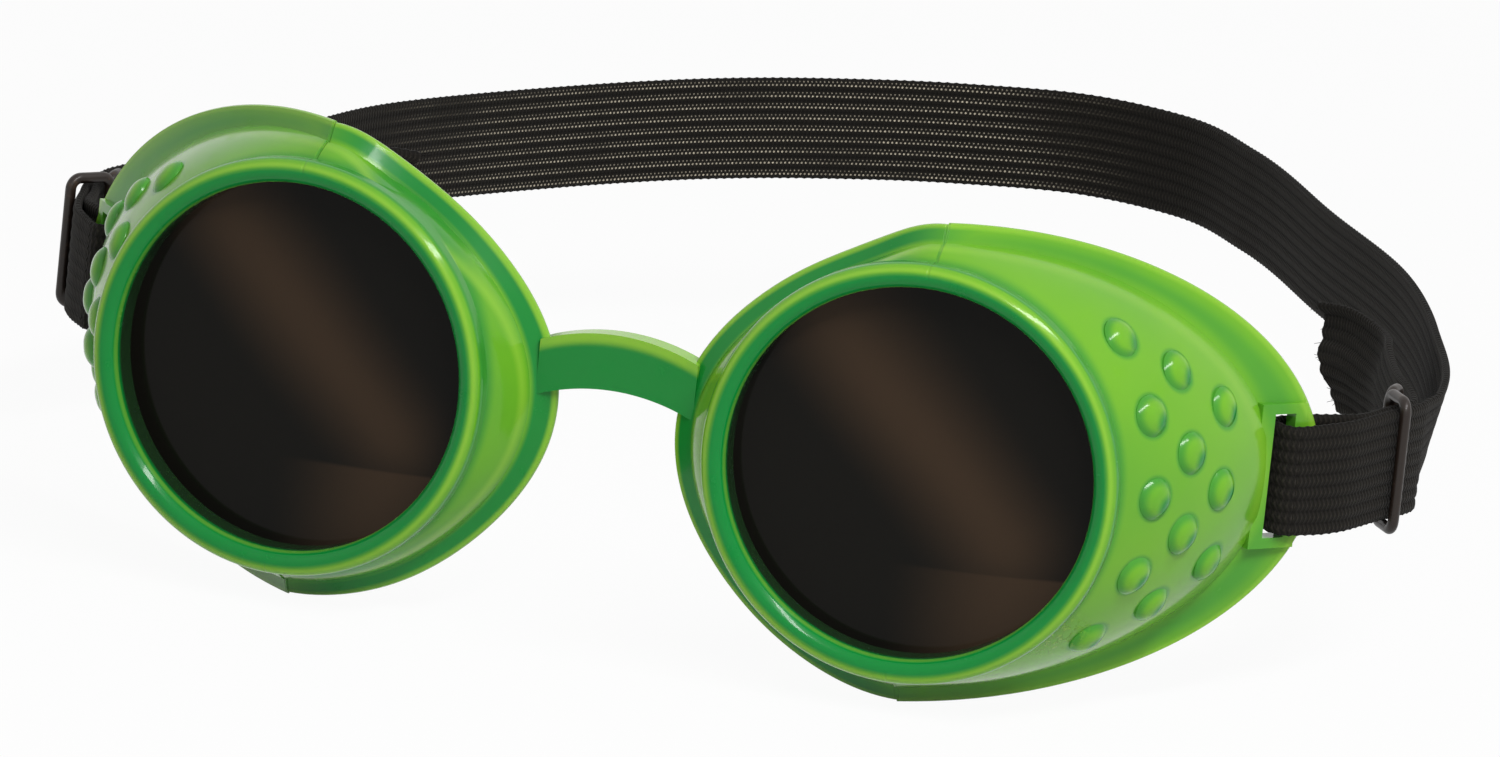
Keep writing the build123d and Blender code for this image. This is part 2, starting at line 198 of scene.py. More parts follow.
class Number:
    """A number in a material's nodes, with arithmetic."""

    def __init__(self, finish, socket):
        self.finish = finish
        self.socket = socket

    def math(self, operation, *operands, clamp=False):
        values = {index: value for index, value in enumerate(operands)}
        settings = {"operation": operation, "use_clamp": clamp}
        return Number(self.finish, self.finish.node("ShaderNodeMath", settings, values).outputs[0])

    def __add__(self, other):
        return self.math("ADD", self, other)

    def __radd__(self, other):
        return self.math("ADD", other, self)

    def __sub__(self, other):
        return self.math("SUBTRACT", self, other)

    def __rsub__(self, other):
        return self.math("SUBTRACT", other, self)

    def __mul__(self, other):
        return self.math("MULTIPLY", self, other)

    def __rmul__(self, other):
        return self.math("MULTIPLY", other, self)

    def __truediv__(self, other):
        return self.math("DIVIDE", self, other)

    def __rtruediv__(self, other):
        return self.math("DIVIDE", other, self)

    def __pow__(self, other):
        return self.math("POWER", self, other)

    def __abs__(self):
        return self.math("ABSOLUTE", self)

    def sin(self):
        return self.math("SINE", self)

    def fraction(self):
        return self.math("FRACT", self)

    def floor(self):
        return self.math("FLOOR", self)

    def least(self, other):
        return self.math("MINIMUM", self, other)

    def most(self, other):
        return self.math("MAXIMUM", self, other)

    def step(self, low, high):
        """0 up to low and 1 from high, smooth between; the other way round when low is above high."""
        flip = low > high
        first, last = (high, low) if flip else (low, high)
        settings = {"interpolation_type": "SMOOTHSTEP"}
        values = {"Value": self, "From Min": first, "From Max": last}
        rise = Number(self.finish, self.finish.node("ShaderNodeMapRange", settings, values).outputs[0])
        return 1 - rise if flip else rise

    def band(self, low, high, soft):
        """1 between low and high, with edges soft on both sides."""
        return self.step(low - soft, low + soft) * self.step(high + soft, high - soft)


class Finish:
    """A material under construction, or the nodes of another owner such as the world."""

    def __init__(self, name, owner=None):
        self.owner = owner or bpy.data.materials.new(name)
        self.owner.use_nodes = True
        self.tree = self.owner.node_tree
        self.tree.nodes.clear()

    def node(self, kind, settings=None, values=None):
        """A node of a type: its settings are set first, then the values or links of its sockets."""
        made = self.tree.nodes.new(kind)
        for name, value in (settings or {}).items():
            if name == "stops":
                self.set_stops(made.color_ramp, value)
            else:
                setattr(made, name, value)
        for name, value in (values or {}).items():
            socket = made.inputs[name]
            if isinstance(value, Number):
                value = value.socket
            if isinstance(value, bpy.types.NodeSocket):
                self.tree.links.new(value, socket)
            elif socket.type == "RGBA" and len(value) == 3:
                socket.default_value = (*value, 1)
            else:
                socket.default_value = value
        return made

    @staticmethod
    def set_stops(ramp, stops):
        while len(ramp.elements) < len(stops):
            ramp.elements.new(0.5)
        for element, (place, value) in zip(ramp.elements, stops):
            element.position = place
            element.color = (*value, 1)

    def place(self, output="Object"):
        return self.node("ShaderNodeTexCoord").outputs[output]

    def axes(self, vector):
        parts = self.node("ShaderNodeSeparateXYZ", None, {0: vector})
        return [Number(self, socket) for socket in parts.outputs]

    def noise(self, vector, scale, detail=2.0, roughness=0.5):
        values = {"Vector": vector, "Scale": scale, "Detail": detail, "Roughness": roughness}
        return Number(self, self.node("ShaderNodeTexNoise", None, values).outputs[0])

    def blend(self, share, first, second):
        """A colour between two, by a share."""
        values = {0: share, 6: first, 7: second}
        return self.node("ShaderNodeMix", {"data_type": "RGBA"}, values).outputs[2]

    def bump(self, height, distance, strength=1.0, normal=None):
        values = {"Strength": strength, "Distance": distance, "Height": height}
        if normal:
            values["Normal"] = normal
        return self.node("ShaderNodeBump", None, values).outputs[0]

    def surface(self, **sockets):
        """Ends the material in a Principled shader."""
        values = {name.replace("_", " "): value for name, value in sockets.items()}
        shader = self.node("ShaderNodeBsdfPrincipled", None, values)
        self.node("ShaderNodeOutputMaterial", None, {"Surface": shader.outputs[0]})
        return self.owner


def dress(node, material):
    """Gives a carried-over part its finish."""
    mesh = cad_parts[node].data
    mesh.materials.clear()
    mesh.materials.append(material)


def cup_lines(finish):
    """Depth, distance aside, height and radius from the nearer cup's axis, in millimetres."""
    x, y, z = finish.axes(finish.place())
    x = abs(x) / MM - CUP.x / MM
    y = y / MM - CUP.y / MM
    z = z / MM - CUP.z / MM
    depth = x * DEPTH_AXIS.x + y * DEPTH_AXIS.y
    aside = x * ASIDE_AXIS.x + y * ASIDE_AXIS.y
    radius = (aside * aside + z * z) ** 0.5
    return depth, aside, z, radius


def plastic_finish(name, colours, masks):
    """Glossy moulded plastic; masks gives its painted highlights, painted shade, painted shade in the recess
    and extra height in millimetres.
    """
    finish = Finish(name)
    painted_highlight, painted_shade, recess_shade, relief = masks(finish)
    place = finish.place()
    cloud = finish.noise(place, 38.0, 2.0)
    # Random clouds of a deeper green, the plastic's own tone.
    colour_now = finish.blend(cloud.step(0.35, 0.75) * 0.28, colours.plastic, colours.plastic_deep_and_shade)
    # Painted shade in hollows, channels, creases and on low sides.
    colour_now = finish.blend(painted_shade, colour_now, colours.plastic_deep_and_shade)
    # Painted highlight along crests and edges; on the shells it also lightens the rough moulding mark.
    colour_now = finish.blend(painted_highlight, colour_now, colours.plastic_highlight)
    # Painted shade in the rings' recess in front of the lens.
    colour_now = finish.blend(recess_shade, colour_now, colours.plastic_recess_shade)
    skin = finish.noise(place, 900.0, 2.0) * 0.003 + finish.noise(place, 120.0, 1.0) * 0.03
    scuff = finish.noise(place, 260.0, 4.0, 0.65).step(0.5, 0.8)
    return finish.surface(
        Base_Color=colour_now,
        Roughness=0.17 + scuff * 0.12 + painted_shade * 0.05,
        IOR=1.49,
        Specular_IOR_Level=0.16,
        Coat_Weight=0.22 - scuff * 0.14,
        Coat_Roughness=0.06,
        Subsurface_Weight=0.08,
        Subsurface_Radius=(0.4, 1.0, 0.15),
        Subsurface_Scale=1.4 * MM,
        Normal=finish.bump(skin + relief, MM),
    )


def wall_spot(angle, share):
    """Depth, distance aside and height of a place on the side shield's wall, in millimetres."""
    across, rise = math.cos(angle), math.sin(angle)
    radius = 1 / math.hypot(across / TEMPLE_REACH, rise / (TEMPLE_RISE if rise > 0 else TEMPLE_FALL))
    depth = SEAM_DEPTH + TEMPLE_SWEEP * radius * across / TEMPLE_REACH
    out, back = (low + (high - low) * across**3 for low, high in zip(FLANGE_AT_SEAM, FLANGE_AT_TEMPLE))
    run = (radius - out - WALL_START[0], depth - back - WALL_START[1])
    bow = 4 * share * (1 - share) * WALL_SWELL
    radius = WALL_START[0] + run[0] * share + bow * run[1]
    depth = WALL_START[1] + run[1] * share - bow * run[0]
    return depth, radius * across, radius * rise


def square_gap(place, middle, shift=(0, 0, 0)):
    """Square of the distance from a place to a middle that is moved by a shift."""
    gaps = [here - (there + more) for here, there, more in zip(place, middle, shift)]
    return gaps[0] * gaps[0] + gaps[1] * gaps[1] + gaps[2] * gaps[2]


def nearest_vent(place, shift=(0, 0, 0)):
    """Distance from a place (depth, aside, up) to the nearest vent bump's middle, moved by a shift."""
    nearest = None
    for share, bend, pitch, count in VENT_COLUMNS:
        for row in range(count):
            angle = pitch * (row - (count - 1) / 2)
            middle = wall_spot(math.radians(angle), share + bend * (angle / VENT_BEND_ANGLE) ** 2)
            square = square_gap(place, middle, shift)
            nearest = nearest.least(square) if nearest else square
    return nearest**0.5


def shell_masks(finish):
    """The shells: painted highlight along the crest and lip lines, painted shade in the flange channel, round
    the vent bumps, along the parting line and low on the nose side, and a rough moulding mark.
    """
    depth, aside, up, radius = cup_lines(finish)
    across, rise = abs(aside) / radius, up / radius
    half = TEMPLE_FALL + (TEMPLE_RISE - TEMPLE_FALL) * up.step(-0.2, 0.2)
    reach, tall = across / TEMPLE_REACH, rise / half
    temple = 1 / (reach * reach + tall * tall) ** 0.5
    inward = across**6
    nose = NOSE_RADIUS + NOSE_REACH * inward - NOSE_DROP * rise
    nose = nose + (half - nose) * abs(rise) ** 24
    temple_half = aside.step(-0.4, 0.4)
    on_temple = aside.step(-7.0, 7.0)
    off_temple = 1 - on_temple
    lip = nose + (temple - nose) * temple_half
    crest = lip - (2.2 + temple_half * across**3 * 3.0 + (1 - temple_half) * inward * 0.6)
    past_crest = radius - crest
    to_lip = lip - radius
    # Painted shade in the flange channel, on the nose half and on the temple half.
    nose_channel = past_crest.step(-0.3, 0.5) * to_lip.step(0.1, 0.8) * off_temple
    temple_channel = past_crest.step(-0.6, 1.4) * to_lip.step(0.2, 2.6) * on_temple
    parting = abs(aside).step(0.32, 0.1)
    foot = (radius - 27.4).step(1.2, 0.0)
    # Painted highlight along the wall's crest and along the flange's lip.
    crest_line = past_crest.band(-0.8, -0.3, 0.3) * (0.55 * off_temple + 0.3 * on_temple)
    lip_line = to_lip.step(0.75, 0.15) * 0.6
    painted_highlight = crest_line.most(lip_line)
    place = (depth, aside, up)
    # Painted shade round the foot of each vent bump and in a crescent beside and below it.
    vent_rim = nearest_vent(place).band(2.2, 3.1, 0.4) * 0.6
    vent_shade = nearest_vent(place, (0.9, 0.9, -0.9)).step(2.1, 0.8) * 0.95
    # Painted shade: the flange channels, the crease at the wall's foot by the ring and the parting line's
    # groove.
    painted_shade = (nose_channel * 0.95).most(temple_channel * (0.7 - across * 0.25))
    painted_shade = painted_shade.most(foot * 0.7).most(parting * 0.4)
    # Painted shade low on the nose side of each cup.
    low = off_temple * up.step(-17.0, -29.0) * 0.8
    painted_shade = painted_shade.most(vent_rim).most(vent_shade).most(low)
    # A rough moulding mark low on one side shield.
    from_mark = square_gap(place, wall_spot(math.radians(-43), 0.16)) ** 0.5
    x = finish.axes(finish.place())[0]
    grain = finish.noise(finish.place(), 1300.0, 3.0, 0.7).step(0.5, 0.62)
    rough = from_mark.step(5.5, 1.5) * grain * x.step(0.0, 0.01)
    return painted_highlight.most(rough * 0.8), painted_shade, NO_MASK, parting * -0.12 + rough * 0.12


def ring_masks(finish):
    """The rings: painted highlight along the crown and the inner edge, painted shade on the inner slope and
    outer foot, and painted shade in the recess in front of the lens.
    """
    depth, aside, _, radius = cup_lines(finish)
    # Painted highlight along the crown and on the inner edge in front of the lens.
    painted_highlight = radius.band(27.0, 27.5, 0.25) * 0.6
    inner_edge = radius.step(24.98, 24.74) * depth.step(0.35, -0.05) * 0.35
    # Painted shade on the inner slope and at the outer foot of the ring.
    painted_shade = radius.step(27.2, 26.3)
    back = radius.step(27.75, 27.98) * 0.7
    # Painted shade in the recess in front of the lens.
    recess_shade = radius.step(24.95, 24.75) * depth.step(0.15, 1.3)
    parting = abs(aside).step(0.25, 0.08) * radius.step(26.0, 27.0)
    return painted_highlight.most(inner_edge), painted_shade.most(back), recess_shade, parting * -0.05


def bridge_masks(finish):
    """The bridge: painted highlight along its upper edge, painted shade below it and at the ends where it
    meets the cups.
    """
    x, _, z = finish.axes(finish.place())
    height = z / MM - (CUP.z / MM + BRIDGE_HEIGHT)
    ends = abs(x).step(8.2 * MM, 10.6 * MM)
    along = x / (BRIDGE_HALF * MM)
    bow = height - BRIDGE_BOW * (1 - along * along)
    # Painted highlight along the upper edge.
    painted_highlight = bow.step(-0.7, 0.5) * 0.75
    # Painted shade below the upper edge and at the ends by the cups.
    painted_shade = (bow.step(0.6, -0.9) * 0.97).most(ends * 0.7)
    return painted_highlight, painted_shade, NO_MASK, NO_MASK


class GOGGLES_OT_frame(bpy.types.Operator):
    """Finish the moulded rings, shells and bridge"""

    bl_idname = "goggles.frame"
    bl_label = "Moulded frame"

    def execute(self, context):
        colours = context.scene.goggles_colours
        shell = plastic_finish("shell_plastic", colours, shell_masks)
        ring = plastic_finish("ring_plastic", colours, ring_masks)
        for side in SIDES:
            dress(side + "_eye_cup", shell)
            dress(side + "_side_shield", shell)
            dress(side + "_lens_ring", ring)
        dress("nose_bridge", plastic_finish("bridge_plastic", colours, bridge_masks))
        return {"FINISHED"}


class GOGGLES_OT_lenses(bpy.types.Operator):
    """Finish the tinted lenses"""

    bl_idname = "goggles.lenses"
    bl_label = "Lenses"

    def execute(self, context):
        colours = context.scene.goggles_colours
        for side, sign in SIDES.items():
            dress(side + "_lens", self.tint(side, sign, colours))
        return {"FINISHED"}

    def tint(self, side, sign, colours):
        """A dark brown tint, with a painted reflection of warmer brown in one slanting sweep and in the lower
        corner.
        """
        finish = Finish(side + "_lens_tint")
        x, _, z = finish.axes(finish.place())
        aside = x / MM - sign * LENS_MIDDLE.x / MM
        up = z / MM - LENS_MIDDLE.z / MM
        along = aside * 0.66 - up * 0.75
        over = aside * 0.75 + up * 0.66
        wander = finish.noise(finish.place(), 22.0, 1.0) * 6 - 3
        # Painted reflection: a warmer brown in a slanting sweep and in the lower corner.
        reflection_sweep = (over + wander - along * 0.05).band(-0.5, 8.5, 7.0) * along.step(27.0, 14.0)
        reflection_corner = (up - aside * 0.05).step(-12.7, -13.5) * aside.step(-3.0, 15.0) * 0.75
        smears = finish.noise(finish.place(), 70.0, 3.0, 0.6).step(0.45, 0.8)
        tint = finish.blend((reflection_sweep * 0.85).most(reflection_corner), colours.lens, colours.lens_reflection)
        return finish.surface(
            Base_Color=tint,
            Roughness=0.08 + smears * 0.05,
            IOR=1.45,
            Specular_IOR_Level=0.1,
            Normal=finish.bump(finish.noise(finish.place(), 14.0, 0.0), 0.06 * MM),
        )


def smooth_route(points, step):
    """Evenly spaced points and directions along a smooth curve through flat points, and their distances."""
    knots = np.array(points, float) * MM
    gaps = np.linalg.norm(np.diff(knots, axis=0), axis=1)
    place = np.concatenate([[0], np.cumsum(gaps)])
    slopes = np.gradient(knots, place, axis=0, edge_order=2)
    fine = np.linspace(0, place[-1], int(place[-1] / (0.1 * MM)))
    index = np.clip(np.searchsorted(place, fine, side="right") - 1, 0, len(gaps) - 1)
    gap = gaps[index][:, None]
    t = ((fine - place[index]) / gaps[index])[:, None]
    start, end = knots[index], knots[index + 1]
    leave, arrive = slopes[index] * gap, slopes[index + 1] * gap
    curve = (
        start * (1 + 2 * t) * (1 - t) ** 2
        + leave * t * (1 - t) ** 2
        + end * t**2 * (3 - 2 * t)
        + arrive * t**2 * (t - 1)
    )
    lengths = np.concatenate([[0], np.cumsum(np.linalg.norm(np.diff(curve, axis=0), axis=1))])
    count = int(lengths[-1] / step)
    even = np.linspace(0, lengths[-1], count + 1)
    spots = np.stack([np.interp(even, lengths, curve[:, k]) for k in (0, 1)], axis=1)
    ways = np.gradient(spots, even, axis=0)
    ways /= np.linalg.norm(ways, axis=1)[:, None]
    return even, spots, ways


def mirrored(points):
    """The left-hand copy of right-hand points."""
    return [(-x, y) for x, y in points]


def heading(angle):
    """The flat way at an angle outward from straight back."""
    return np.array([math.sin(math.radians(angle)), math.cos(math.radians(angle))])


def outward(angle):
    """The flat way square to a heading, away from the head."""
    return np.array([math.cos(math.radians(angle)), -math.sin(math.radians(angle))])


def arc(centre, radius, first, last, count):
    """Evenly spaced points of a round stretch."""
    return [centre + outward(angle) * radius for angle in np.linspace(first, last, count + 1)]


def tab_tip():
    """The middle of the strap tab's tip."""
    edge = CUP / MM + ASIDE_AXIS * TEMPLE_REACH + DEPTH_AXIS * (SEAM_DEPTH + TEMPLE_SWEEP)
    return np.array([edge.x, edge.y]) - outward(TAB_LEAN) * TAB_THICKNESS / 2


def layer(side, turn):
    """The strap from its slot, along the tab and through the slider; side is +1 outside the tab."""
    lean, way = heading(TAB_LEAN), heading(DOUBLED_ANGLE)
    slot = tab_tip() - lean * TAB_LENGTH + outward(TAB_LEAN) * side * SLOT_TURN
    leave = slot + lean * (TAB_LENGTH + side * TAB_CREST)
    spread = side * (STRAP_THICKNESS + LAYER_GAP) / 2
    join = tab_tip() + DOUBLED_START + outward(DOUBLED_ANGLE) * spread
    finish = join + way * DOUBLED_LENGTH
    bend = (leave + join) / 2 + (lean - way) * np.linalg.norm(join - leave) / 8
    radius, last = turn
    curve = arc(finish - outward(DOUBLED_ANGLE) * radius, radius, DOUBLED_ANGLE, last, 2)
    return [slot, (slot + leave) / 2, leave, bend, join, (join + finish) / 2, *curve]


def slot_loop():
    """The fold round the front of the tab, from its outside to its inside."""
    centre = tab_tip() - heading(TAB_LEAN) * TAB_LENGTH
    return arc(centre, SLOT_TURN, TAB_LEAN, TAB_LEAN + 180, 4)


class Elastic:
    """A length of ribbed elastic: made flat, then laid along its route."""

    PER_RIB = 4

    def __init__(self, name, points, sizes, finish):
        self.sizes = sizes
        self.step = sizes.stitch_pitch / 3
        self.even, self.spots, self.ways = smooth_route(points, self.step)
        self.length = self.even[-1]
        self.mesh = bpy.data.meshes.new(name)
        self.object = bpy.data.objects.new(name, self.mesh)
        bpy.context.scene.collection.objects.link(self.object)
        self.mesh.materials.append(finish)

    def weave(self, shape):
        """shape takes flat places (along, across, face) and returns them with the piece's own bends."""
        columns, rows = len(self.even) - 1, self.sizes.ribs * self.PER_RIB
        grid = bmesh.new()
        bmesh.ops.create_grid(grid, x_segments=columns, y_segments=rows, size=0.5)
        bmesh.ops.solidify(grid, geom=grid.faces[:], thickness=1.0)
        bmesh.ops.recalc_face_normals(grid, faces=grid.faces[:])
        grid.to_mesh(self.mesh)
        grid.free()
        flat = np.zeros(len(self.mesh.vertices) * 3)
        self.mesh.vertices.foreach_get("co", flat)
        flat = flat.reshape(-1, 3)
        column = np.rint((flat[:, 0] + 0.5) * columns)
        across = flat[:, 1]
        face = np.where(flat[:, 2] > flat[:, 2].mean(), 1.0, -1.0)
        self.lay(column, across, face, shape)

    def lay(self, column, across, face, shape):
        sizes = self.sizes
        along = column * self.length / (len(self.even) - 1)
        rib = np.abs(np.sin(np.pi * sizes.ribs * (across + 0.5))) ** 0.6
        edge = np.abs(across) > 0.499
        loop = np.where(column % 3 == 0, 0.07, -0.04) * MM
        self.write_uv(along, across)
        half = np.where(edge, 0.3, 0.5) * sizes.strap_core + rib * sizes.rib_height
        aside = across * sizes.strap_width + np.sign(across) * np.where(edge, loop, 0)
        depth = face * half
        along, aside, depth = shape(along, aside, depth)
        spot = np.stack([np.interp(along, self.even, self.spots[:, k]) for k in (0, 1)], axis=1)
        way = np.stack([np.interp(along, self.even, self.ways[:, k]) for k in (0, 1)], axis=1)
        over = (along - np.clip(along, 0, self.length))[:, None]
        spot = spot + way * over
        normal = np.stack([way[:, 1], -way[:, 0]], axis=1)
        flat = spot + normal * depth[:, None]
        placed = np.column_stack([flat, STRAP_MIDDLE + aside])
        self.mesh.vertices.foreach_set("co", placed.ravel())
        self.mesh.polygons.foreach_set("use_smooth", np.ones(len(self.mesh.polygons), bool))
        self.mesh.update()

    def write_uv(self, along, across):
        """Metres along and across the elastic, as the map that its weave follows."""
        corners = np.zeros(len(self.mesh.loops), np.int32)
        self.mesh.loops.foreach_get("vertex_index", corners)
        layer = self.mesh.uv_layers.new(name="weave")
        values = np.column_stack([along, across * self.sizes.strap_width])[corners]
        layer.data.foreach_set("uv", values.astype(np.float32).ravel())


def elastic_finish(name, colours, sizes, opened=None):
    """Ribbed black elastic; between two distances along it the stretched weave shows its pale rubber."""
    finish = Finish(name)
    along, across, _ = finish.axes(finish.place("UV"))
    pitch = sizes.strap_width / sizes.ribs
    in_lane = (across / pitch + sizes.ribs / 2).fraction() - 0.5
    stitch = along / (STITCH_LENGTH * MM)
    knit = ((stitch + abs(in_lane) * 0.9) * (2 * math.pi)).sin()
    yarn = ((stitch * 2 - in_lane * 1.7) * (2 * math.pi)).sin()
    fuzz = finish.noise(finish.place("UV"), 2600.0, 3.0, 0.7)
    valley = abs(in_lane).step(0.3, 0.5)
    crown = abs(in_lane).step(0.22, 0.02)
    # Painted highlight on the tops of the knit loops, following the knit pattern.
    shade = finish.blend(knit.step(-0.6, 1.0) * 0.45, colours.strap, (0.019, 0.016, 0.013))
    # Painted highlight on the crowns of the ribs.
    shade = finish.blend(crown * knit.step(0.0, 1.0) * 0.5, shade, (0.034, 0.029, 0.023))
    # Painted shade in the valleys between the ribs.
    shade = finish.blend(valley * 0.6, shade, (0.0035, 0.003, 0.0025))
    shade = finish.blend(fuzz.step(0.58, 0.8) * 0.2, shade, (0.04, 0.035, 0.028))
    height = knit * 0.05 + yarn * 0.02 + fuzz * 0.05
    if opened:
        start, end = opened
        spread = along.step(start, start + 30 * MM) * along.step(end, end - 40 * MM)

        def holes(centre, shift, radius):
            run = ((stitch + shift).fraction() - 0.5) * 0.6
            off = (in_lane - centre) * (pitch / MM)
            return ((run * run + off * off) ** 0.5).step(radius * 1.3, radius * 0.7)

        patch = finish.noise(finish.place("UV"), 45.0, 2.0).step(0.28, 0.5)
        speckle = 0.55 + finish.noise(finish.place("UV"), 1500.0, 1.0).step(0.35, 0.6) * 0.45
        near = holes(-0.06, 0.0, 0.15)
        far = holes(0.24, 0.5, 0.1) * 0.5
        shown = near.most(far) * spread * patch * speckle
        shade = finish.blend(shown, shade, colours.strap_core)
        height = height - near * spread * 0.1
    return finish.surface(
        Base_Color=shade,
        Roughness=0.86 - knit.step(0.2, 1.0) * 0.08,
        Specular_IOR_Level=0.12,
        Sheen_Weight=0.02,
        Sheen_Roughness=0.4,
        Normal=finish.bump(height, MM),
    )


def ease(value, low, high):
    t = np.clip((value - low) / (high - low), 0, 1)
    return t * t * (3 - 2 * t)


class GOGGLES_OT_head_strap(bpy.types.Operator):
    """Weave the long band round the head"""

    bl_idname = "goggles.head_strap"
    bl_label = "Head strap"

    def execute(self, context):
        sizes, colours = context.scene.goggles_sizes, context.scene.goggles_colours
        start = layer(1, BAND_TURN)
        points = start + BAND + mirrored(start[::-1])
        finish = elastic_finish("head_strap_elastic", colours, sizes, OPENED)
        band = Elastic("head_strap_elastic", points, sizes, finish)
        length = band.length

        def drape(along, aside, depth):
            from_slot = np.minimum(along, length - along)
            aside = aside * (0.98 + 0.02 * ease(from_slot, 0, 6 * MM))
            aside = aside - SLOT_SAG * (1 - ease(from_slot, 1 * MM, 18 * MM))
            roll = 0.18 * MM * np.sin(along * 71) * ease(from_slot, 40 * MM, 80 * MM)
            turned = ease(from_slot, 26 * MM, 36 * MM) * (1 - ease(from_slot, 42 * MM, 80 * MM))
            depth = depth + aside / sizes.strap_width * 3.0 * MM * turned
            return along, aside + roll, depth

        band.weave(drape)
        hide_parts("head_strap")
        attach(band.object, "strap")
        return {"FINISHED"}


class GOGGLES_OT_strap_ends(bpy.types.Operator):
    """Weave the ends that pass through the slots, with their cut and frayed tails"""

    bl_idname = "goggles.strap_ends"
    bl_label = "Strap ends"

    def execute(self, context):
        sizes, colours = context.scene.goggles_sizes, context.scene.goggles_colours
        finish = elastic_finish("strap_end_elastic", colours, sizes)
        right = slot_loop() + layer(-1, TAIL_TURN)[1:] + TAIL
        for side, sign in SIDES.items():
            points = right if sign > 0 else mirrored(right)
            end = Elastic(side + "_strap_end_elastic", points, sizes, finish)
            cut = self.cut_line(sizes)

            def bend(along, aside, depth, end=end, cut=cut):
                tail = ease(along, end.length - 42 * MM, end.length)
                along = along + ease(along, end.length - 17 * MM, end.length) * cut(aside)
                aside = aside * (0.98 + 0.02 * ease(along, 8 * MM, 15 * MM))
                aside = aside - SLOT_SAG * (1 - ease(along, 0, 6 * MM))
                wave = np.sin(aside / sizes.strap_width * 7.5 + along * 60) * 0.9 * MM
                return along, aside + 0.5 * MM * tail * np.sin(along * 300), depth + wave * tail

            end.weave(bend)
            threads = self.fray(side, end, bend, sizes, finish)
            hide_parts(side + "_strap_end")
            for piece in (end.object, threads):
                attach(piece, "strap")
        return {"FINISHED"}

    @staticmethod
    def cut_line(sizes):
        """How far the skewed scissors' line falls short of the end, by the place across."""

        def wander(aside):
            share = aside / sizes.strap_width
            wave = 0.5 * np.sin(share * 9 + 1) + 0.25 * np.sin(share * 31)
            return (wave + TAIL_SKEW * (share - 0.5) - 0.6) * MM

        return wander

    @staticmethod
    def fray(side, end, bend, sizes, finish):
        """Short loose yarns that stand out of the cut end."""
        draw = random.Random(11)
        curve = bpy.data.curves.new(side + "_fray", "CURVE")
        curve.dimensions = "3D"
        curve.bevel_depth = 0.07 * MM
        curve.bevel_resolution = 1
        curve.use_fill_caps = True
        way = end.ways[-1]
        normal = np.array([way[1], -way[0]])
        for _ in range(sizes.fray_threads):
            aside = draw.uniform(-0.49, 0.49) * sizes.strap_width
            start = np.array([end.length, aside, 0.0])
            along, lifted, depth = (float(v) for v in bend(*start))
            base = end.spots[-1] + way * (along - end.length - 0.5 * MM) + normal * depth
            reach = draw.uniform(0.6, 1.9) * MM
            lean, swing = draw.uniform(-0.5, 0.5), draw.uniform(-0.6, 0.6)
            spline = curve.splines.new("NURBS")
            spline.points.add(3)
            for index, point in enumerate(spline.points):
                share = index / 3
                flat = base + way * reach * share + normal * reach * lean * share**2
                rise = lifted + reach * swing * share**2
                point.co = (*flat, STRAP_MIDDLE + rise, 1)
                point.radius = 1 - 0.6 * share
            spline.order_u = 3
            spline.use_endpoint_u = True
        drawn = bpy.data.objects.new(side + "_fray_line", curve)
        mesh = bpy.data.meshes.new_from_object(drawn)
        bpy.data.objects.remove(drawn)
        bpy.data.curves.remove(curve)
        mesh.materials.clear()
        mesh.materials.append(finish)
        threads = bpy.data.objects.new(side + "_fray_threads", mesh)
        bpy.context.scene.collection.objects.link(threads)
        return threads


class GOGGLES_OT_sliders(bpy.types.Operator):
    """Finish the wire sliders"""

    bl_idname = "goggles.sliders"
    bl_label = "Sliders"

    def execute(self, context):
        colours = context.scene.goggles_colours
        finish = Finish("slider_enamel")
        place = finish.place()
        worn = finish.noise(place, 420.0, 4.0, 0.65)
        bare = worn.step(0.6, 0.72)
        shade = finish.blend(bare * 0.4, colours.wire, (0.09, 0.055, 0.035))
        enamel = finish.surface(
            Base_Color=shade,
            Metallic=bare * 0.15,
            Roughness=0.3 + worn * 0.2,
            Specular_IOR_Level=0.3,
            Coat_Weight=0.1 - bare * 0.08,
            Coat_Roughness=0.12,
            Normal=finish.bump(worn, 0.05 * MM),
        )
        for side in SIDES:
            dress(side + "_strap_slider", enamel)
        return {"FINISHED"}


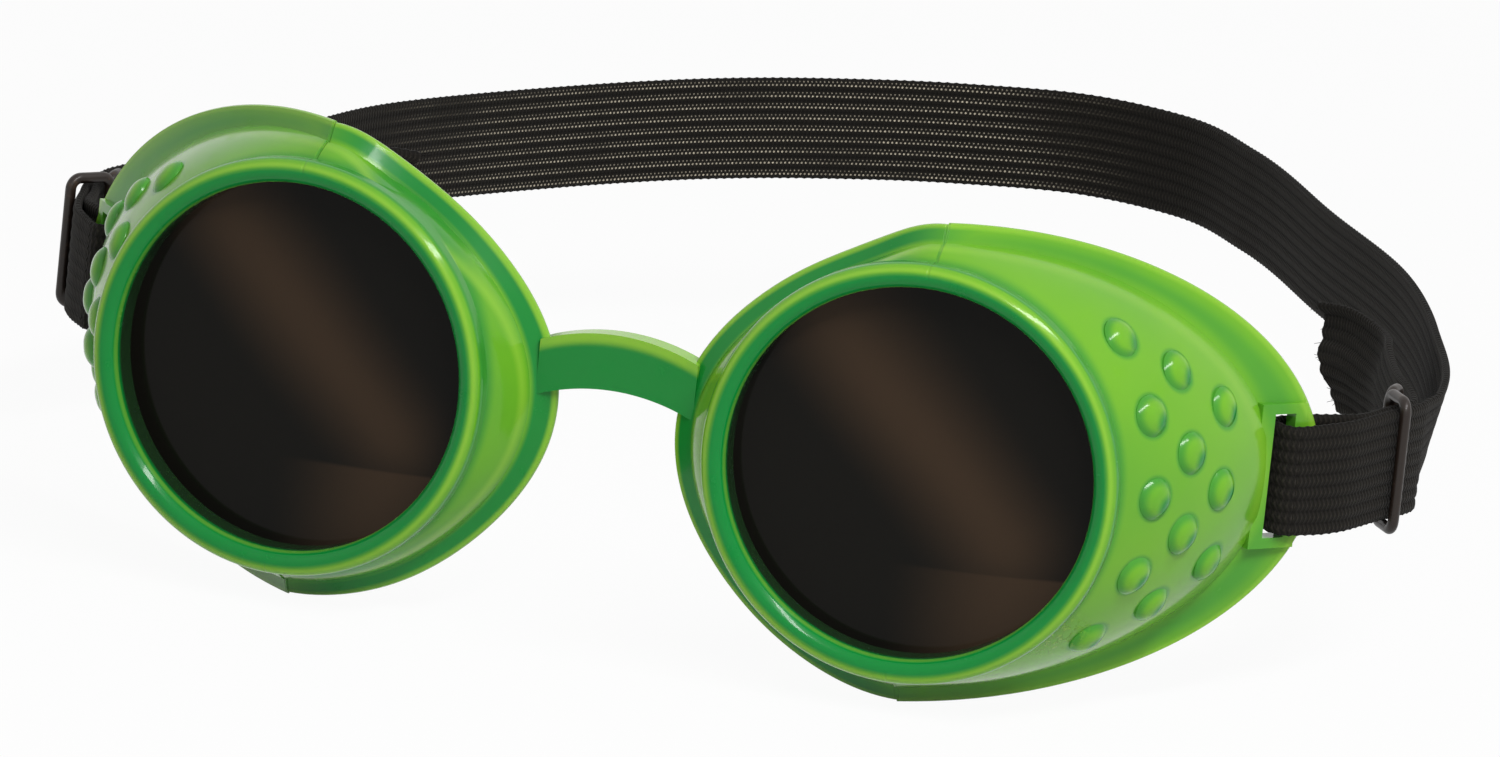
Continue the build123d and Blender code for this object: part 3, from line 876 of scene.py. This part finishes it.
class GOGGLES_OT_stage(bpy.types.Operator):
    """Set the floor, the soft lamps and the camera"""

    bl_idname = "goggles.stage"
    bl_label = "Stage"

    def execute(self, context):
        self.floor(context)
        self.world(context)
        for settings in LAMPS:
            self.lamp(context, *settings)
        self.camera(context)
        context.scene.view_settings.view_transform = "Standard"
        return {"FINISHED"}

    @staticmethod
    def seen(finish):
        """1 for what the camera sees directly, in gloss or through glass."""
        rays = finish.node("ShaderNodeLightPath").outputs
        camera, gloss, through = (
            Number(finish, rays[name]) for name in ("Is Camera Ray", "Is Glossy Ray", "Is Transmission Ray")
        )
        return camera.most(gloss).most(through)

    def floor(self, context):
        slab = bmesh.new()
        bmesh.ops.create_grid(slab, x_segments=1, y_segments=1, size=FLOOR_SIZE)
        mesh = bpy.data.meshes.new("floor")
        slab.to_mesh(mesh)
        slab.free()
        ground = bpy.data.objects.new("floor", mesh)
        context.scene.collection.objects.link(ground)
        finish = Finish("floor_white")
        paint = finish.node("ShaderNodeBsdfDiffuse", None, {"Color": FLOOR_PAINT})
        glow = finish.node("ShaderNodeEmission", None, {"Color": WHITE, "Strength": 1.0})
        share = self.seen(finish) * FLOOR_GLOW
        values = {0: share, 1: paint.outputs[0], 2: glow.outputs[0]}
        both = finish.node("ShaderNodeMixShader", None, values)
        finish.node("ShaderNodeOutputMaterial", None, {"Surface": both.outputs[0]})
        mesh.materials.append(finish.owner)

    def world(self, context):
        world = bpy.data.worlds.new("studio")
        context.scene.world = world
        finish = Finish("studio", world)
        strength = self.seen(finish) * WORLD_SEEN + WORLD_LIGHT
        sky = finish.node("ShaderNodeBackground", None, {"Color": WHITE, "Strength": strength})
        finish.node("ShaderNodeOutputWorld", None, {"Surface": sky.outputs[0]})

    @staticmethod
    def lamp(context, name, place, size, power, roll):
        light = bpy.data.lights.new(name, "AREA")
        light.shape = "RECTANGLE"
        light.size, light.size_y = size
        light.energy = power
        lamp = bpy.data.objects.new(name, light)
        aim = LAMP_AIM - Vector(place)
        lamp.location = place
        rolled = Matrix.Rotation(math.radians(roll), 3, "Z")
        lamp.rotation_euler = (aim.to_track_quat("-Z", "Y").to_matrix() @ rolled).to_euler()
        context.scene.collection.objects.link(lamp)

    @staticmethod
    def camera(context):
        sizes = context.scene.goggles_sizes
        turn, rise, roll = sizes.camera_turn, sizes.camera_rise, sizes.camera_roll
        back = Vector((math.sin(turn) * math.cos(rise), -math.cos(turn) * math.cos(rise), math.sin(rise)))
        level = Vector((math.cos(turn), math.sin(turn), 0))
        upright = back.cross(level)
        right = level * math.cos(roll) + upright * math.sin(roll)
        up = upright * math.cos(roll) - level * math.sin(roll)
        origin = Vector((0, CUP.y, CUP.z))
        eye = origin + back * sizes.camera_distance
        aside, above = CAMERA_AIM
        target = origin + right * aside * MM + up * above * MM
        away = (eye - target).normalized()
        right = (right - away * right.dot(away)).normalized()
        up = away.cross(right)
        lens = bpy.data.cameras.new("view")
        lens.sensor_width = CAMERA_SENSOR
        lens.lens = CAMERA_LENS
        lens.clip_end = CAMERA_REACH
        camera = bpy.data.objects.new("view", lens)
        camera.matrix_world = Matrix.Translation(eye) @ Matrix((right, up, away)).transposed().to_4x4()
        context.scene.collection.objects.link(camera)
        context.scene.camera = camera


class GOGGLES_PT_pieces(bpy.types.Panel):
    """The goggles' pieces in the sidebar"""

    bl_idname = "GOGGLES_PT_pieces"
    bl_label = "Goggles"
    bl_space_type = "VIEW_3D"
    bl_region_type = "UI"
    bl_category = "Goggles"

    def draw(self, context):
        layout = self.layout
        for operator in OPERATORS:
            layout.operator(operator.bl_idname)
        for group in (context.scene.goggles_sizes, context.scene.goggles_colours):
            for name in group.bl_rna.properties.keys():
                if name not in ("rna_type", "name"):
                    layout.prop(group, name)


OPERATORS = (
    GOGGLES_OT_stage,
    GOGGLES_OT_frame,
    GOGGLES_OT_lenses,
    GOGGLES_OT_head_strap,
    GOGGLES_OT_strap_ends,
    GOGGLES_OT_sliders,
)
CLASSES = (GogglesSizes, GogglesColours, *OPERATORS, GOGGLES_PT_pieces)


def register():
    for item in CLASSES:
        bpy.utils.register_class(item)
    bpy.types.Scene.goggles_sizes = PointerProperty(type=GogglesSizes)
    bpy.types.Scene.goggles_colours = PointerProperty(type=GogglesColours)


def unregister():
    del bpy.types.Scene.goggles_colours
    del bpy.types.Scene.goggles_sizes
    for item in reversed(CLASSES):
        bpy.utils.unregister_class(item)


def main():
    register()
    bpy.ops.goggles.stage()
    bpy.ops.goggles.frame()
    bpy.ops.goggles.lenses()
    bpy.ops.goggles.head_strap()
    bpy.ops.goggles.strap_ends()
    bpy.ops.goggles.sliders()
    bpy.context.view_layer.update()


if __name__ == "__main__":
    main()
